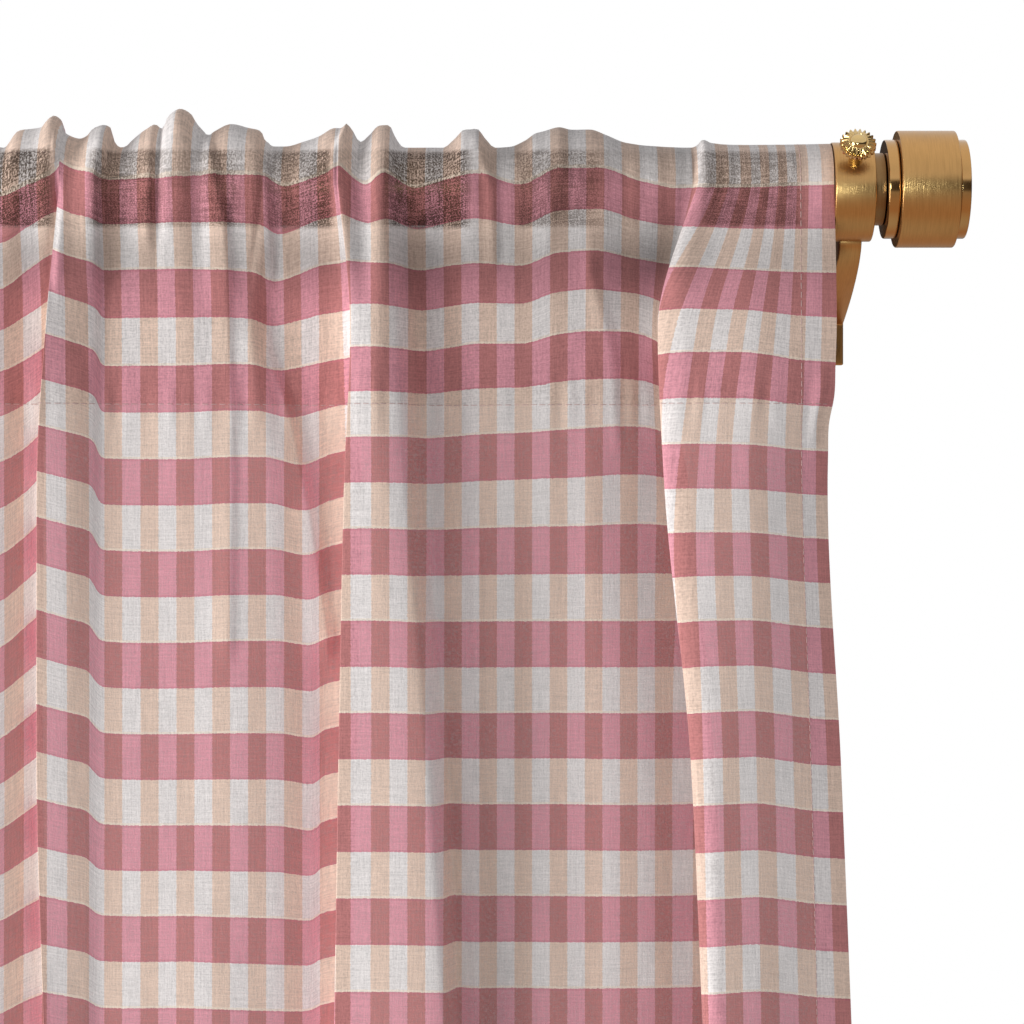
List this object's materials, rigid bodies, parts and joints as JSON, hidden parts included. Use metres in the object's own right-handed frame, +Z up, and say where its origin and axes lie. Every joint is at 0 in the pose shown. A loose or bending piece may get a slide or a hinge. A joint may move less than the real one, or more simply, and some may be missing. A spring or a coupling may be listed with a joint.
{
  "type": "sheer curtain on a curtain rod with wall brackets",
  "caption": "Semi-sheer checked rod-pocket curtain panel, gathered on a short brass rod held by ring wall brackets with thumbscrews and round finials.",
  "frame": {"origin": "centre line of the right bracket's wall plate, on its back face, level with the rod's axis", "axes": "+X along the rod to the viewer's right, +Y out of the back of the wall plates into the wall, +Z up"},
  "size_m": [0.6212, 0.0858, 1.6113],
  "materials": {
    "check_voile": "semi-sheer plain weave",
    "brushed_brass": "brushed satin",
    "polished_brass": "polished"
  },
  "bodies": {
    "root": {"curtain": "check_voile", "rod": "brushed_brass", "bracket_right": "brushed_brass", "thumbscrew_right": "polished_brass", "finial_collar_right": "polished_brass", "finial_barrel_right": "brushed_brass", "finial_disc_right": "polished_brass", "bracket_left": "brushed_brass", "thumbscrew_left": "polished_brass", "finial_collar_left": "polished_brass", "finial_barrel_left": "brushed_brass", "finial_disc_left": "polished_brass"}
  },
  "joints": []
}
